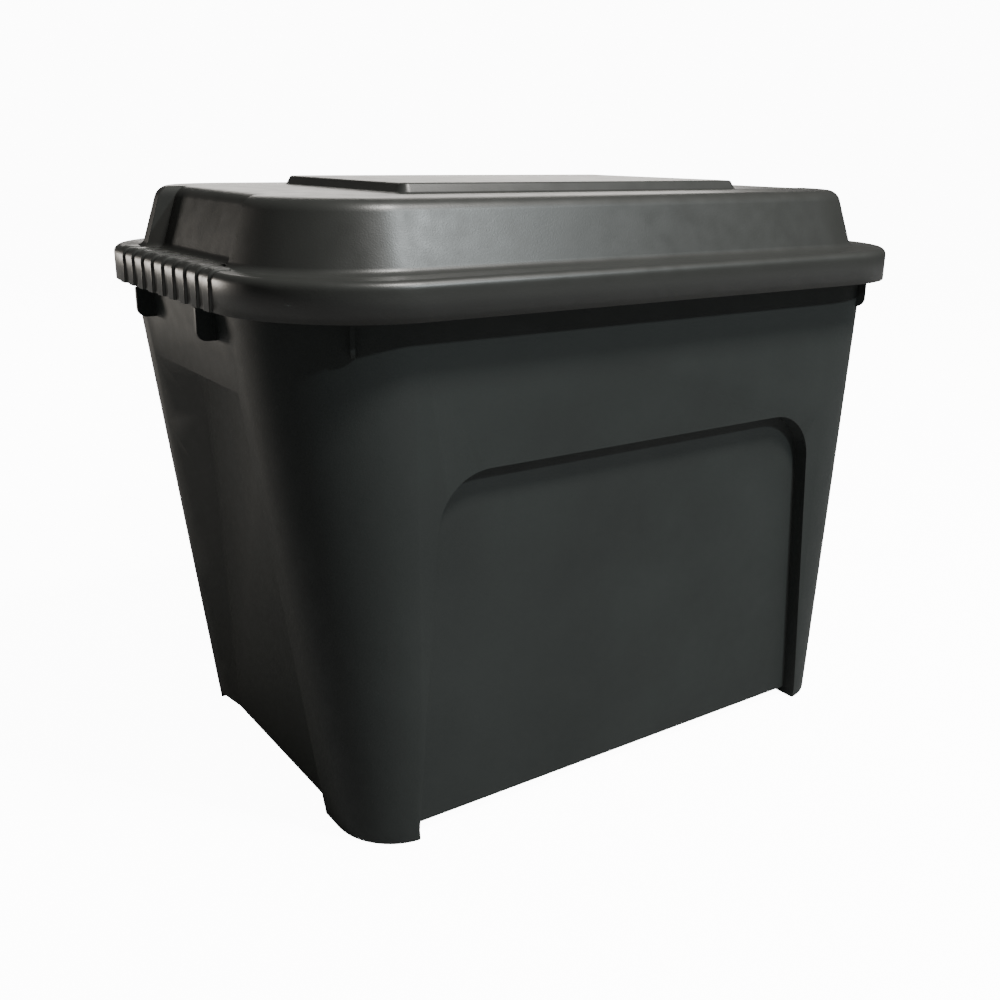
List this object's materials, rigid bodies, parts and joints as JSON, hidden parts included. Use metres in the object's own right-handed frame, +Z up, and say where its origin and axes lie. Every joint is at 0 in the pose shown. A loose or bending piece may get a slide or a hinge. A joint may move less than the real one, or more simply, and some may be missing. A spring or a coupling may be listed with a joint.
{
  "type": "bait station",
  "caption": "Tapered tub-type bait station with a lift-off domed lid, rear entry ports, lift-out baffles and a bait cassette with threaded bait blocks on rods.",
  "frame": {"origin": "on the ground under the middle of the tub", "axes": "+X along the long side, -Y the plain front, +Y the rear with the entry ports, +Z up"},
  "size_m": [0.606, 0.401, 0.4617],
  "materials": {
    "tub_plastic": "fine grained moulded polypropylene",
    "lid_plastic": "satin moulded polypropylene",
    "liner_plastic": "smooth moulded polypropylene",
    "baffle_plastic": "matt sheet",
    "fitting_plastic": "glossy moulded",
    "gasket_rubber": "matt",
    "grip_plastic": "matt",
    "steel": "zinc plated",
    "bait": "pressed grain and wax"
  },
  "bodies": {
    "station_tub": {"tub": "tub_plastic", "left_entry_tube": "fitting_plastic", "left_entry_gasket": "gasket_rubber", "left_entry_ring_nut": "fitting_plastic", "right_entry_tube": "fitting_plastic", "right_entry_gasket": "gasket_rubber", "right_entry_ring_nut": "fitting_plastic"},
    "lid": {"lid": "lid_plastic"},
    "left_baffle": {"left_baffle": "baffle_plastic"},
    "right_baffle": {"right_baffle": "baffle_plastic"},
    "cassette": {"cassette_tray": "liner_plastic", "front_end_plate": "liner_plastic", "rear_end_plate": "liner_plastic", "end_plate_screws": "steel"},
    "left_rod": {"left_bait_rod": "steel", "left_rod_clips": "steel", "left_bait_block_1": "bait", "left_bait_block_2": "bait", "left_bait_block_3": "bait", "left_bait_block_4": "bait"},
    "right_rod": {"right_bait_rod": "steel", "right_rod_clips": "steel", "right_bait_block_1": "bait", "right_bait_block_2": "bait", "right_bait_block_3": "bait", "right_bait_block_4": "bait"},
    "bail": {"lift_bail": "steel", "bail_hand_grip": "grip_plastic"}
  },
  "joints": [
    {"name": "lid_lift", "type": "slide", "parent": "station_tub", "child": "lid", "axis": [0, 0, 1], "range_m": [0, 0.3]},
    {"name": "left_baffle_lift", "type": "slide", "parent": "station_tub", "child": "left_baffle", "axis": [0, 0, 1], "range_m": [0, 0.19]},
    {"name": "right_baffle_lift", "type": "slide", "parent": "station_tub", "child": "right_baffle", "axis": [0, 0, 1], "range_m": [0, 0.19]},
    {"name": "cassette_lift", "type": "slide", "parent": "station_tub", "child": "cassette", "axis": [0, 0, 1], "range_m": [0, 0.17]},
    {"name": "left_rod_lift", "type": "slide", "parent": "cassette", "child": "left_rod", "axis": [0, 0, 1], "range_m": [0, 0.06]},
    {"name": "right_rod_lift", "type": "slide", "parent": "cassette", "child": "right_rod", "axis": [0, 0, 1], "range_m": [0, 0.06]},
    {"name": "bail_swing", "type": "hinge", "parent": "cassette", "child": "bail", "pos_m": [0, 0.049, 0.1738], "axis": [0, 1, 0], "range_deg": [0, 194]}
  ]
}
